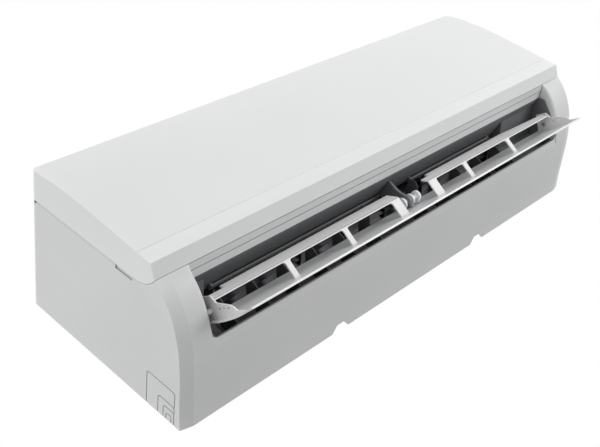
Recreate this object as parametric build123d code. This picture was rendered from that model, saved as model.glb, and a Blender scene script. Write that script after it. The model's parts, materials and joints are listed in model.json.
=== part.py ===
from build123d import *
import os
from math import cos, sin, sqrt, radians, hypot

# Wall-mounted indoor unit of a split air conditioner, in millimetres.
# Frame: +X to the right seen from the room, -Y towards the room, +Z up.
# The origin lies on the wall face, half way along the width.

# ---------------------------------------------------------------- overall
case_width = 790.0
case_height = 279.1
top_z = 139.5               # rear top edge above the origin
top_fall = 9.5              # drop of the top from the wall to the front
wall = 2.5                  # moulded wall of casing and panel
seam_gap = 0.5              # gap between panel and casing
fit_gap = 0.3               # gap between pieces that only lie together
run_gap = 0.05              # radial clearance of a turning or sliding fit
beyond = 50.0               # how far cutters run past the shape

# ---------------------------------------------------------------- depth, from the wall to the front
back_gap = 3.0              # wall face to the chassis's back
back_thick = 2.5
scroll_room = 5.416         # chassis back to the rearmost point of the scroll
scroll_wall = 2.2
scroll_gap = 5.0            # fan to the beginning of the scroll
scroll_growth = 35.8        # widening of the scroll from its beginning to its end
scroll_from = 40.0
scroll_to = -80.5
fan_r = 44.0
coil_fan_gap = 6.0
coil_thick = 22.0
coil_filter_gap = 5.7
filter_thick = 3.0
skirt_depth = 42.8          # depth of the panel's side and top skirts

half = case_width / 2
bottom_z = top_z - case_height
back_y = -back_gap
back_front = back_y - back_thick
scroll_start = fan_r + scroll_gap
scroll_end = scroll_start + scroll_growth
scroll_reach = scroll_start + scroll_growth * scroll_from / (scroll_from - scroll_to)
fan_y = back_front - scroll_room - scroll_wall - scroll_reach
coil_y = fan_y - fan_r - coil_fan_gap - coil_thick / 2
filter_back = coil_y - coil_thick / 2 - coil_filter_gap
filter_front = filter_back - filter_thick
front_y = filter_front - fit_gap - wall
seam_y = front_y - seam_gap
case_depth = skirt_depth - seam_y


def top_at(y):
    """Height of the sloping top surface at depth y."""
    return top_z + y * top_fall / case_depth


def at(setback, rise):
    """Section point (y, z) behind the panel's foremost line and above the underside."""
    return (setback - case_depth, bottom_z + rise)


# ---------------------------------------------------------------- front panel
groove_rise = 82.0          # groove line above the underside
groove_setback = 6.6        # panel surface at the groove behind the foremost line
panel_groove = 0.8
skirt_end_rise = 89.6       # end of the straight seam
heel_setback = 25.3         # rear lower corner of the panel behind its front
heel_rise = 52.9
toe_setback = 8.1           # front lower corner of the panel
toe_rise = 60.3
belly_drop = 72.7           # foremost line of the panel below the top edge
shoulder_setback = 4.2      # front top edge behind the foremost line
waist_setback = 2.8
waist_drop = 140.0
corner_round = 8.0          # rounding of the top side edges
seam_bend = (14.0, 15.7)    # middle of the seam's lower curve from the heel
seam_slant = 0.7            # share of a seam gap along each axis at the heel
toe_slant = 0.64            # lift of the inner toe per wall thickness
panel_pin_r = 1.5
panel_pin_wall = 1.2
panel_pin_setback = 1.5     # pin axis in front of the skirt's rear edge
panel_boss_wall = 1.0       # thicker foot of the pin at the skirt
ear_thick = 3.0
ear_inset = 11.0            # ear in from the side face
ear_wall = 1.0              # ear round the pin
ear_height = 12.0
relief_gap = 0.9            # casing edge clear of the opening panel

heel = at(heel_setback, heel_rise)
toe = at(toe_setback, toe_rise)
skirt_end_z = bottom_z + skirt_end_rise
hinge_y = seam_y - panel_pin_setback
hinge_z = top_at(seam_y) - wall - fit_gap - panel_pin_wall - panel_pin_r
ear_r = panel_pin_r + ear_wall
relief_r = hypot(panel_pin_setback, top_at(seam_y) - hinge_z) + relief_gap

# ---------------------------------------------------------------- casing
underside_bends = ((40.4, 35.0), (76.8, 13.4), (129.1, 4.2))
cheek_rise = 4.0            # underside higher by this at the side faces
cheek_share = (0.35, 0.9, 1.0)
cheek_run = 16.0
cheek_width = 45.0          # side face to the outlet opening
cheek_round = 6.0           # rounding of the cheeks towards the opening
round_steps = 5
round_fade = (
    (0, 0), (0.03, 0.7), (0.06, 1), (0.12, 1), (0.2, 1), (0.28, 1), (0.34, 1), (0.4, 0.7), (0.44, 0.3),
    (0.47, 0), (0.52, -0.3),
)                           # share of the rounding along the underside's length
rim_thick = 6.5             # cheek wall beside the opening
lip_rise = 8.3              # rear edge of the outlet opening
lip_setback = 100.3
crease_setback = 108.8      # fold line of the underside behind the lip
crease_rise = 6.0
outlet_corner = 8.0
strip_depth = 22.5          # flat strips between panel and duct
strip_groove = 1.0
grip_low_rise = 88.6        # finger recess in the side seam
grip_high_rise = 116.6
grip_run = 5.0
grip_deep = 1.4
window_rise = 95.6          # filter window in the casing's front wall
window_drop = 31.5
window_inset = 39.0
mullion_half = 6.0
grille_inset = 29.0         # intake slots in the top
grille_columns = 6
grille_rows = 12
grille_pitch = 9.5
grille_slot = 3.8
grille_bar = 4.0
grille_back = 24.0
knockouts = ((48.0, 13.8, 61.1), (27.0, 13.8, 41.6), (18.5, 13.8, 32.6), (10.5, 17.9, 27.8))
knockout_corner = 4.0
knockout_line = 1.2
knockout_deep = 0.6
notch_left = -138.0         # cable notches in the lower rear edge
notch_right = 160.0
notch_wide = 32.0
notch_narrow = 12.0
notch_deep = 9.7

outlet_half = half - cheek_width
window_half = half - window_inset
grille_half = half - grille_inset
lip = at(lip_setback, lip_rise)
crease = at(crease_setback, crease_rise)
strip_z = heel[1] - 0.2
strip_back = heel[0] + strip_depth

# ---------------------------------------------------------------- filters
filter_frame = 6.0
filter_skin = 0.8
filter_lap_low = 8.0        # filter edges behind the window's edges
filter_lap_high = 6.0
filter_inner = 4.0          # filter edges across the width
filter_lap_side = 6.0
filter_rib = 2.0
filter_columns = 4
filter_rows = 3
guide_thick = 2.0
guide_lip = 1.5
ledge_thick = 4.0

filter_outer = window_half + filter_lap_side
filter_low = bottom_z + window_rise - filter_lap_low
filter_high = top_z - window_drop + filter_lap_high
guide_y = filter_back + fit_gap + guide_lip

# ---------------------------------------------------------------- fan
fan_rise = 109.6            # fan axis above the underside
fan_blades = 30
fan_blade_depth = 10.0
fan_blade_thick = 1.1
fan_discs = 8
disc_thick = 2.0
hub_length = 14.0
blade_sweep = 14.0
fan_gap = 5.0               # wheel to the end walls
shaft_r = 4.0
shaft_grip = 20.0           # shaft inside the motor
bearing_r = 14.0
bearing_thick = 10.0
motor_gap = 10.0            # duct's end wall to the motor
motor_r = 40.0
motor_length = 60.0
motor_round = 5.0
motor_boss = 10.0
motor_boss_front = 4.0
motor_boss_rear = 2.0
clamp_setback = 18.0        # motor's face to its clamp
clamp_wide = 20.0
clamp_thick = 3.0
clamp_split = 0.3           # gap between the clamp's halves
clamp_flange = 12.0
clamp_screw_r = 2.0
clamp_head_r = 3.8
clamp_head = 2.5
clamp_screw_length = 12.0
clamp_bore_gap = 0.1

fan_z = bottom_z + fan_rise

# ---------------------------------------------------------------- air duct
duct_wall = 2.2
low_edge_rise = 2.0         # front edge of the duct's lower wall above the lip's tip
low_edge_thick = 1.7
low_knee = (6.0, 1.0)       # bend of its underside, from the lip's tip
low_end_back = 0.2          # lean of its rear edge
side_edge = (1.0, 3.2)      # lower front corner of the duct's end walls, from the lip's tip
side_drop = 0.6             # their upper edge below the tongue
duct_clear = 0.3            # between duct and casing
duct_left_inset = 27.5      # outlet's end to the channel's end wall, left
duct_right_inset = 88.0
tongue_angle = 226.69       # edge of the front wall seen from the fan's axis
tongue_gap = 1.5
tongue_r = 2.6
rail_gap = 1.8              # slot between the front wall and the vane rail
rail_deep = 8.0
rail_thick = 2.4
rail_foot = 3.0
rail_left_end = 18.5        # rail ends inside the channel's end walls
rail_right_end = 17.0
rail_left_stop = -9.0
rail_right_stop = 56.0

duct_half = outlet_half - duct_clear
in_left = -(outlet_half - duct_left_inset)
in_right = outlet_half - duct_right_inset
fan_left = in_left + fan_gap
fan_right = in_right - fan_gap
motor_x = in_right + motor_gap
clamp_x0 = motor_x + clamp_setback
clamp_x1 = clamp_x0 + clamp_wide
clamp_x = (clamp_x0 + clamp_x1) / 2
tongue_reach = fan_r + tongue_gap + tongue_r
tongue_y = fan_y + tongue_reach * cos(radians(tongue_angle))
tongue_z = fan_z + tongue_reach * sin(radians(tongue_angle))
duct_front_end = (strip_back + 1.4, strip_z)
duct_rear_end = (tongue_y - 1, tongue_z - tongue_r - 0.9)
lower_wall_end = (fan_y + scroll_end * cos(radians(scroll_to)), fan_z + scroll_end * sin(radians(scroll_to)))

rim_points = (
    (strip_back, strip_z + wall), at(46.8, 42.1), at(57.0, 34.0), at(65.9, 26.6), at(77.3, 19.8),
    at(100.1, 18.1), at(106.8, 17.1),
)
filler_points = (
    at(62.8, 58.6), at(108.8, 53.6), at(116.8, 15.6), at(118.8, 15.6), at(111.2, 55.6), at(80.8, 64.6),
)

# ---------------------------------------------------------------- flap
flap_side_gap = 7.0         # flap to the outlet's ends
flap_setback = 77.3         # flap axis
flap_rise = 26.5
flap_open = 80.0            # angle from shut to the rest position
flap_thick = 2.4
flap_corner = 14.0
flap_pin_r = 3.0
flap_frame_inset = 4.0      # end plates inside the flap's ends
vane_thick = 2.0            # thickness of inner vane, straps and end plates
bar_front = (-14.5, -0.4)   # edges of the inner vane from the flap axis
bar_rear = (-7.5, 17.1)
bar_narrow = 0.6            # share of the vane's width beside its steps
strap_foot = (0.6, -24.4)
strap_wide = 7.5
strap_reach = 40.0          # web's depth before it is cut at the flap
strap_margin = 1.5          # web below the vane's front edge
window_round = 3.5
straps_left = (-228.5, -130.0)
straps_right = (117.0, 223.0)
frame_left_end = -25.0      # inner ends of the two frames
frame_right_end = 37.0
leg_wide = 15.0
frame_step = 27.0           # vane's rear edge steps back beside its ends
inner_step = 18.0
bar_taper = 107.0           # vane's rear edge runs in towards its right end
bar_tip = 0.5
end_plate_points = (
    (-7.5, 17.1), (-17.0, 3.6), (-14.0, -5.9), (-24.1, -25.4), (-25.5, -30.9), (-24.5, -36.9), (-34.5, -50.9),
    (-26.5, -54.9), (23.5, 3.1), (7.5, 10.1),
)                           # outline of the end plates from the flap's axis
end_plate_slots = (
    ((-9.5, -9.9), (-11.5, -13.9)), ((-14.5, -16.4), (-16.5, -20.4)), ((-19.0, -22.9), (-21.0, -26.9)),
)
slot_wide = 2.0             # drain slots of the end plates
lug_places = (-14.0, 2.0, 15.0)
lug_r = 7.4
lug_thick = 3.0
lug_foot = (2.0, -10.9)
lug_wide = 11.8
arm_x = -3.0                # arm of the duct that carries the flap
arm_thick = 4.0
arm_tip_r = 8.0
arm_root = (62.8, 59.6)
arm_front = ((64.2, 55.1), (67.5, 48.1), (70.3, 38.0), (69.5, 28.7))
arm_rear = ((82.3, 41.6), (88.8, 67.6))
drive_shaft_r = 2.5         # flap's stepping motor
drive_boss_r = 4.5
drive_r = 13.0
drive_thick = 18.0
drive_offset = (3.5, 7.2)   # motor body off its shaft
drive_grip = 12.0

flap_half = outlet_half - flap_side_gap
frame_half = flap_half - flap_frame_inset
flap_axis = at(flap_setback, flap_rise)
flap_shut = (
    at(18.8, 51.1), at(28.8, 42.6), at(39.9, 34.1), at(57.3, 22.6), at(76.4, 12.9), at(86.0, 10.3),
)
drive_x = outlet_half + rim_thick + seam_gap

# ---------------------------------------------------------------- vertical vanes
swing_vane_pitch = 50.0
vane_end_gap = 20.0         # first vane to the channel's end wall
vane_left_limit = -52.0     # no vane of the left bank beyond this
vane_right_first = 47.5
swing_vane_thick = 1.4
swing_pin_r = 1.5
swing_pin_length = 13.0
swing_pin_bore = 5.0        # top of the pin's bore in the duct's lower wall
crank = 10.0                # link pin behind the vane's axis
link_pin_r = 1.0
link_thick = 1.6
link_width = 7.0
link_over = 6.0             # link bar beyond its outer pins
link_pin_up = 6.0
link_pin_down = 1.2
vane_points = ((-32.0, 34.5), (-22.0, 35.0), (2.0, 29.0), (12.0, 11.0), (-10.0, -9.0))
paddle_points = (
    (-38.5, 33.5), (-32.0, 34.5), (-22.0, 35.0), (2.0, 29.0), (12.0, 11.0), (-10.0, -9.0), (-22.5, 15.0),
    (-38.5, 19.5), (-42.5, 23.0), (-42.5, 29.5),
)                           # outline of a vane with a paddle, from the foot of its axis
swing_limit = 30.0          # widest turn of a vane to each side
swing_tilt = 25.85          # lean of the vane's axis off the vertical
swing_setback = 4.0         # foot of that axis in front of the fan's axis
swing_drop = 82.0
link_t = 1.0                # link bar below that foot

swing_foot = (fan_y - swing_setback, fan_z - swing_drop)
vane_left_first = in_left + vane_end_gap
vane_left_count = int((vane_left_limit - vane_left_first) / swing_vane_pitch) + 1
vane_right_count = int((in_right - vane_right_first) / swing_vane_pitch) + 1

# ---------------------------------------------------------------- coil
coil_left_inset = 60.0      # fin pack's left end to the side face
coil_right_over = 23.0      # fin pack beyond the channel's right end wall
coil_low_drop = 22.0        # lower edge below the fan's axis
coil_knee_drop = 97.5       # upper end of the lower pack below the top edge
apex_drop = 28.5
apex_front = 18.0           # apex in front of the fan's axis
upper_foot_back = 5.0       # behind the lower pack's middle line
knee_gap = 6.0              # upper pack's foot above the lower pack's top
rear_top_drop = 35.5
rear_top_back = 2.0
rear_foot_drop = 77.5
rear_foot_front = 30.0      # from the wall
tube_r = 3.5
tube_pitch = 19.0
tube_plate = 1.0
tube_plate_over = 1.0       # end plate past the fin packs
tube_plate_lap = 5.0
tube_plate_foot = 14.0
tubes_low_count = 4
tubes_high_count = 3
tubes_rear_count = 2

coil_left = -(half - coil_left_inset)
coil_right = in_right + coil_right_over
coil_low_z = fan_z - coil_low_drop
front_low_foot = (coil_y, coil_low_z)
front_low_top = (coil_y, top_z - coil_knee_drop)
upper_foot = (coil_y + upper_foot_back, front_low_top[1] + knee_gap)
upper_top = (fan_y - apex_front, top_z - apex_drop)
rear_foot = (-rear_foot_front, top_z - rear_foot_drop)
rear_top = (fan_y + rear_top_back, top_z - rear_top_drop)

# ---------------------------------------------------------------- pipes and drain
gas_r = 4.76                # 3/8 inch tube
liquid_r = 3.18             # 1/4 inch tube
gas_thread_r = 7.94         # 5/8 inch flare thread
liquid_thread_r = 5.56      # 7/16 inch flare thread
gas_nut_r = 10.5
liquid_nut_r = 8.0
union_hex = 12.0
union_nose = 14.0
union_over = 10.0           # tube end inside its union
gas_out = 33.0              # riser beside the coil's end
liquid_out = 53.0
gas_y = -18.0
liquid_y = -27.0
gas_rise = 18.6
liquid_rise = 32.6
gas_end = -200.0
liquid_end = -90.0
gas_step = 22.0             # riser's bend below the coil's outlet
gas_bend = 12.0
liquid_bend = 9.0
clip_place = 60.0
clip_wide = 10.0
clip_front = 6.0
clip_below = 8.0
clip_above = 4.2
pan_left_inset = 50.0
pan_right_inset = 21.0
pan_rise = 82.6             # rim of the pan above the underside
pan_front = 6.0             # pan in front of and behind the lower coil
pan_rear = 8.0
pan_wall = 2.0
pan_seat = 2.0              # ribs that carry the coil
pan_seat_pitch = 110.0
pan_seat_inset = 20.0
pan_seats = 6
end_inset = 33.0            # spout and cable inlet to the right side face
spout_rise = 75.6
spout_r = 6.0
spout_bore = 4.5
spout_length = 60.0

gas_x = coil_right + gas_out
liquid_x = coil_right + liquid_out
gas_z = bottom_z + gas_rise
liquid_z = bottom_z + liquid_rise
pan_left = -(half - pan_left_inset)
pan_right = half - pan_right_inset
pan_top = bottom_z + pan_rise
pan_y0 = coil_y - coil_thick / 2 - pan_front
pan_y1 = coil_y + coil_thick / 2 + pan_rear
spout_x = half - end_inset
spout_z = bottom_z + spout_rise

# ---------------------------------------------------------------- chassis and wall plate
back_rise = 77.6            # back panel above the underside
back_drop = 3.1
leg_over = 6.0              # leg beside a pipe clip
trough_drop = 93.5          # trough under the rear coil
trough_front = 46.0
trough_lip = 4.0
web_thick = 2.0
scroll_steps = 6
web_places = (-160.0, 0.0, 150.0)
cradle_arm = 12.0
plate_thick = 1.2
plate_inset = 45.0
plate_rise = 81.6
plate_drop = 23.5
screw_hole_r = 2.75
screw_inset = 115.0
screw_span_z = 120.0
hook_inset = 165.0
hook_width = 40.0
hook_drop = 21.5
hook_lip = 8.0
hook_hole = 12.0
chamber_gap = 9.0           # fan chamber's front face behind the lower fin pack
window_wide = 90.0          # openings of the wall plate
window_low = 30.0
window_high = 70.0
inlet_r = 8.0
inlet_bore = 5.0
inlet_groove = 1.5
inlet_flange = 1.0

trough_top = top_z - trough_drop
chamber_front = coil_y + coil_thick / 2 + chamber_gap
plate_half = half - plate_inset
plate_low = bottom_z + plate_rise
plate_high = top_z - plate_drop
back_low = bottom_z + back_rise
back_high = top_z - back_drop
hook_x = half - hook_inset
hook_z = top_z - hook_drop
inlet_x = half - end_inset

# ---------------------------------------------------------------- electrics
box_wide = 40.0
box_inset = 11.0            # box to the side face
box_front_gap = 9.5         # box to the casing's front wall
box_deep = 86.0
box_below = 15.0            # box below the fan's axis
box_drop = 44.5
box_wall = 2.0
box_bracket = 14.0
lid_thick = 1.5
board_thick = 1.6
board_stand = 8.0           # main board off the box's floor
board_edge = 4.0
terminal_high = 20.0
terminal_pitch = 10.3
terminal_count = 4
display_wide = 23.5
display_above = 75.0
display_below = 15.0
lamp_pitch = 7.0
lamp_r = 1.5
lamp_count = 3
button_inset = 21.0
button_rise = 119.6
button_r = 4.0
button_collar = 1.5
button_collar_thick = 1.1
button_proud = 0.3
button_length = 5.8

board_lift = 30.0           # main board above the box's floor
transformer = (20.0, 24.0, 28.0)
relay = (16.0, 16.0, 16.0)
capacitor_r = 5.0
capacitor_high = 22.0
capacitor_pitch = 14.0
capacitor_count = 3
terminal_inset = 14.0
terminal_slot = 6.0
display_left = 7.5          # display board left of the button
receiver = 8.0
receiver_thick = 3.0
receiver_rise = 30.0
lamp_rise = 50.0

box_x1 = half - box_inset
box_x0 = box_x1 - box_wide
box_y0 = front_y + box_front_gap
box_y1 = box_y0 + box_deep
box_z0 = fan_z - box_below
box_z1 = top_z - box_drop
button_x = half - button_inset
button_z = bottom_z + button_rise


# ================================================================ helpers
def block(x0, x1, y0, y1, z0, z1):
    """Box between two corners."""
    box = Box(abs(x1 - x0), abs(y1 - y0), abs(z1 - z0))
    return Pos((x0 + x1) / 2, (y0 + y1) / 2, (z0 + z1) / 2) * box


def outline(*points):
    """Flat polygon in the section plane, points given as (y, z)."""
    return make_face(Polyline(*points, close=True))


def prism(section, x0, x1):
    """Section in (y, z) carried along the width from x0 to x1."""
    low = min(x0, x1)
    return extrude(Plane.YZ.offset(low) * section, amount=abs(x1 - x0))


def rod(centre, r, x0, x1):
    """Cylinder along the width."""
    return prism(Pos(*centre) * Circle(r), x0, x1)


def turned(point, degrees_up, centre):
    """Section point turned about a centre, from +Y towards +Z."""
    a = radians(degrees_up)
    dy = point[0] - centre[0]
    dz = point[1] - centre[1]
    return (centre[0] + dy * cos(a) - dz * sin(a), centre[1] + dy * sin(a) + dz * cos(a))


def moved(point, dy, dz):
    """Section point moved by dy and dz."""
    return (point[0] + dy, point[1] + dz)


def past(start, end, extra):
    """Point beyond end on the line from start."""
    length = hypot(end[0] - start[0], end[1] - start[1])
    share = (length + extra) / length
    return (start[0] + share * (end[0] - start[0]), start[1] + share * (end[1] - start[1]))


def strip(start, end, thick, side=0.0):
    """Flat bar in the section plane between two points; side shifts it across."""
    length = hypot(end[0] - start[0], end[1] - start[1])
    uy = (end[0] - start[0]) / length
    uz = (end[1] - start[1]) / length
    a = thick / 2 + side
    b = -thick / 2 + side
    return outline(
        (start[0] - uz * a, start[1] + uy * a),
        (end[0] - uz * a, end[1] + uy * a),
        (end[0] - uz * b, end[1] + uy * b),
        (start[0] - uz * b, start[1] + uy * b),
    )


def shifted(points, distance):
    """Section points moved sideways from their path, to its left."""
    other = []
    for i, point in enumerate(points):
        a = points[max(i - 1, 0)]
        b = points[min(i + 1, len(points) - 1)]
        length = hypot(b[0] - a[0], b[1] - a[1])
        dy = -(b[1] - a[1]) / length * distance
        dz = (b[0] - a[0]) / length * distance
        other.append(moved(point, dy, dz))
    return other


def band(points, thick):
    """Curved bar in the section plane, its thickness to the path's left."""
    other = shifted(points, thick)
    edges = [
        Spline(*points),
        Line(points[-1], other[-1]),
        Spline(*reversed(other)),
        Line(other[0], points[0]),
    ]
    return make_face(edges)


def across_wall(x, y, z, r, length):
    """Cylinder along the depth, centred on a point."""
    return Pos(x, y, z) * Rot(90, 0, 0) * Cylinder(r, length)


def save(name, shape):
    export_step(shape, f"parts/{name}.step")


# ================================================================ outer form
def underside(rise):
    """Points of the underside from the panel's heel to the wall."""
    points = [heel]
    for (setback, height), share in zip(underside_bends, cheek_share):
        points.append(at(setback, height + rise * share))
    points.append((0, bottom_z + rise))
    return points


def front_line(inset):
    """Points of the panel's front from shoulder to waist, moved inwards."""
    shoulder_y = shoulder_setback - case_depth
    shoulder = (shoulder_y + inset, top_at(shoulder_y) - inset)
    belly = (inset - case_depth, top_z - belly_drop)
    waist = (waist_setback + inset - case_depth, top_z - waist_drop)
    return [shoulder, belly, waist]


def full_section(rise):
    """Whole outline of casing and panel; rise lifts the underside."""
    front = front_line(0)
    edges = [
        Line((0, top_z), front[0]),
        Spline(*front, toe),
        Line(toe, heel),
        Spline(*underside(rise)),
        Line((0, bottom_z + rise), (0, top_z)),
    ]
    return make_face(edges)


def inner_section(rise):
    """Outline of the space inside the moulded wall, running past the wall face."""
    low = shifted(underside(rise), wall)
    front = front_line(wall)
    inner_toe = moved(toe, wall, toe_slant * wall)
    edges = [
        Line((wall, top_z - wall), front[0]),
        Spline(*front, inner_toe),
        Line(inner_toe, low[0]),
        Spline(*low),
        Line(low[-1], (wall, low[-1][1])),
        Line((wall, low[-1][1]), (wall, top_z - wall)),
    ]
    return make_face(edges)


def seam_zone(gap):
    """Section region in front of the seam between panel and casing."""
    y = seam_y + gap
    slant = seam_slant * gap
    low = moved(heel, slant, -slant)
    bend = moved(low, *seam_bend)
    edges = [
        Line((y, top_z + beyond), (y, skirt_end_z)),
        ThreePointArc((y, skirt_end_z), bend, low),
        Line(low, (-2 * case_depth, low[1])),
        Line((-2 * case_depth, low[1]), (-2 * case_depth, top_z + beyond)),
        Line((-2 * case_depth, top_z + beyond), (y, top_z + beyond)),
    ]
    return make_face(edges)


def outer_form():
    """Solid block of casing and panel together, with softened ends."""
    knee = half - cheek_run
    form = prism(full_section(0), -knee, knee)
    for side in (-1, 1):
        inner = Plane.YZ.offset(side * knee) * full_section(0)
        outer = Plane.YZ.offset(side * half) * full_section(cheek_rise)
        form += loft([inner, outer], ruled=True)
    top_edges = [
        e for e in form.edges()
        if abs(abs(e.center().X) - half) < 0.1 and e.center().Z > top_at(-case_depth) - 1
    ]
    return fillet(top_edges, corner_round)


# ================================================================ casing
def casing_hollow():
    """Space inside the casing, open to the wall."""
    knee = half - cheek_run
    hollow = prism(inner_section(0), -knee, knee)
    end_rise = cheek_rise * (cheek_run - wall) / cheek_run
    for side in (-1, 1):
        near = Plane.YZ.offset(side * knee) * inner_section(0)
        far = Plane.YZ.offset(side * (half - wall)) * inner_section(end_rise)
        hollow += loft([near, far], ruled=True)
    return hollow - prism(seam_zone(seam_gap + wall), -half, half)


def outlet_opening():
    """Cutter for the outlet opening, with a straight rear lip and round corners."""
    front = -2 * case_depth
    plan = Pos(0, (front + lip[0]) / 2) * Rectangle(2 * outlet_half, lip[0] - front)
    plan = fillet(plan.vertices().sort_by(Axis.Y)[-2:], outlet_corner)
    return extrude(Plane.XY.offset(bottom_z - 1) * plan, amount=strip_z - bottom_z + 1)


def lip_facet():
    """Cutter for the flat facet between the fold of the underside and the lip."""
    front = past(crease, lip, 5)
    rear = past(lip, crease, 20)
    section = outline(front, rear, (rear[0], rear[1] - beyond), (front[0], rear[1] - beyond))
    return prism(section, -outlet_half, outlet_half)


def rim_section():
    """Side view of the cheek wall beside the outlet, down past the underside."""
    low = bottom_z - beyond
    return outline((heel[0] - 1, rim_points[0][1]), *rim_points, (rim_points[-1][0], low), (heel[0] - 1, low))


def cheek_cutter(side):
    """Cutter that rounds the underside into one cheek wall, fading at heel and lip."""
    path = Spline(*underside(0))
    sections = []
    for step in range(round_steps + 1):
        across = cheek_round * step / round_steps
        depth = cheek_round - sqrt(cheek_round ** 2 - (cheek_round - across) ** 2) - run_gap
        curve = []
        for t, share in round_fade:
            normal = Vector(-(path % t).Y, (path % t).X, 0)
            point = path @ t + normal * depth * share
            curve.append((point.X, point.Y))
        low = bottom_z - beyond
        edges = [
            Spline(*curve),
            Line(curve[-1], (curve[-1][0], low)),
            Line((curve[-1][0], low), (curve[0][0], low)),
            Line((curve[0][0], low), curve[0]),
        ]
        sections.append(Plane.YZ.offset(side * (outlet_half + across)) * make_face(edges))
    return loft(sections, ruled=True)


def grille_slots():
    """Intake slots in the top, in rows and columns."""
    span = 2 * grille_half / grille_columns
    slots = []
    for row in range(grille_rows):
        y = -grille_back - row * grille_pitch
        for column in range(grille_columns):
            x = -grille_half + (column + 0.5) * span
            reach = span / 2 - grille_bar
            slots.append(block(x - reach, x + reach, y - grille_slot, y, top_at(y) - 2 * wall, top_z + 1))
    return slots


def knockout_lines():
    """Nested pipe knock-out outlines on a side face, open at the wall edge."""
    lines = None
    for deep, low, high in knockouts:
        tall = high - low
        thin = 2 * knockout_line
        ring = RectangleRounded(2 * deep, tall, knockout_corner)
        ring -= RectangleRounded(2 * deep - thin, tall - thin, knockout_corner - knockout_line)
        ring = Pos(0, bottom_z + (low + high) / 2) * ring
        lines = ring if lines is None else lines + ring
    return lines


def cable_notches():
    """Cut-outs in the lower rear edge."""
    cuts = []
    for x in (notch_left, notch_right):
        plan = make_face(Polyline(
            (x - notch_wide / 2, 1), (x - notch_narrow / 2, -notch_deep),
            (x + notch_narrow / 2, -notch_deep), (x + notch_wide / 2, 1), close=True,
        ))
        cuts.append(extrude(Plane.XY.offset(bottom_z - 1) * plan, amount=2 * wall + 1))
    return cuts


def filter_guides():
    """Ledge, rear lip and rails that hold the filters behind the window."""
    front = front_y + wall - 1
    low = filter_low - fit_gap
    guides = block(-half + wall, half - wall, front, guide_y, low - ledge_thick, low)
    guides += block(-window_half, window_half, filter_back + fit_gap, guide_y, low, low + filter_lap_low)
    high = top_at(front_y) - wall + 0.5
    for x in (-filter_outer - fit_gap - guide_thick, -guide_thick / 2, filter_outer + fit_gap):
        guides += block(x, x + guide_thick, front, guide_y, low - 1, high)
    return guides


def front_strips():
    """Grooved flat strips between the panel and the air duct."""
    strips = block(-outlet_half - 1, outlet_half + 1, heel[0], strip_back, strip_z, strip_z + wall)
    groove_y = (heel[0] + strip_back) / 2
    groove = block(-outlet_half, outlet_half, groove_y - strip_groove / 2, groove_y + strip_groove / 2,
                   strip_z - 1, strip_z + strip_groove)
    return strips - groove - prism(seam_zone(seam_gap), -half, half)


def hinge_ear(side):
    """Bearing for the panel's hinge pin, hung from the casing's front wall."""
    x0 = side * (half - ear_inset)
    x1 = side * (half - ear_inset - ear_thick)
    ear = rod((hinge_y, hinge_z), ear_r, x0, x1)
    return ear + block(x0, x1, hinge_y - ear_r, front_y + 1, hinge_z - ear_height, hinge_z - 1)


def front_casing():
    body = outer_form() - prism(seam_zone(seam_gap), -half - 1, half + 1)
    shell = body - casing_hollow() - outlet_opening() + front_strips() - lip_facet()
    for side in (-1, 1):
        rim = prism(rim_section(), side * outlet_half, side * (outlet_half + rim_thick)) & body
        shell += rim
        shell -= cheek_cutter(side)
        shell -= block(side * mullion_half, side * window_half, front_y - 1, front_y + wall + 1,
                       bottom_z + window_rise, top_z - window_drop)
        shell -= block(side * (half - grip_deep), side * (half + 1), front_y - 1, front_y + grip_run,
                       bottom_z + grip_low_rise, bottom_z + grip_high_rise)
    shell += filter_guides()
    hinge = (hinge_y, hinge_z)
    shell -= rod(hinge, relief_r, -half - 1, half + 1)
    shell += hinge_ear(-1) + hinge_ear(1)
    shell -= rod(hinge, panel_pin_r + run_gap, -half + ear_inset - 1, half - ear_inset + 1)
    shell -= extrude(Plane.YZ.offset(-half) * knockout_lines(), amount=knockout_deep)
    shell -= across_wall(button_x, front_y, button_z, button_r + run_gap, 4 * wall)
    for cut in cable_notches() + grille_slots():
        shell -= cut
    return shell


# ================================================================ front panel
def front_panel():
    form = outer_form() & prism(seam_zone(0), -half - 1, half + 1)
    shell = form - prism(inner_section(0), -half + wall, half - wall)
    groove = at(groove_setback, groove_rise)
    shell -= rod(groove, panel_groove, -half - 1, half + 1)
    hinge = (hinge_y, hinge_z)
    for side in (-1, 1):
        x0 = side * (half - wall + 0.5)
        shell += rod(hinge, panel_pin_r, x0, side * (half - ear_inset - ear_thick))
        shell += rod(hinge, panel_pin_r + panel_boss_wall, x0, side * (half - ear_inset + 1))
    return shell


# ================================================================ filters
def air_filter(side):
    """Framed dust filter with a fine screen, left (-1) or right (+1)."""
    x0 = side * filter_inner
    x1 = side * filter_outer
    frame = block(x0, x1, filter_front, filter_back, filter_low, filter_high)
    low_x = min(x0, x1) + filter_frame
    low_z = filter_low + filter_frame
    cell_x = (abs(x1 - x0) - 2 * filter_frame) / filter_columns
    cell_z = (filter_high - filter_low - 2 * filter_frame) / filter_rows
    rib = filter_rib / 2
    for i in range(filter_columns):
        for k in range(filter_rows):
            x = low_x + i * cell_x
            z = low_z + k * cell_z
            frame -= block(x + rib, x + cell_x - rib, filter_front - 1, filter_back - filter_skin,
                           z + rib, z + cell_z - rib)
    return frame


# ================================================================ air duct
def lower_wall_section():
    """Side view of the duct's lower wall, from the lip to the scroll."""
    end = moved(lower_wall_end, -fit_gap, 0)
    return outline(
        moved(lip, fit_gap, low_edge_rise + low_edge_thick),
        end,
        moved(end, low_end_back, -duct_wall),
        moved(lip, *low_knee),
        moved(lip, fit_gap, low_edge_rise),
    )


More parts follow.
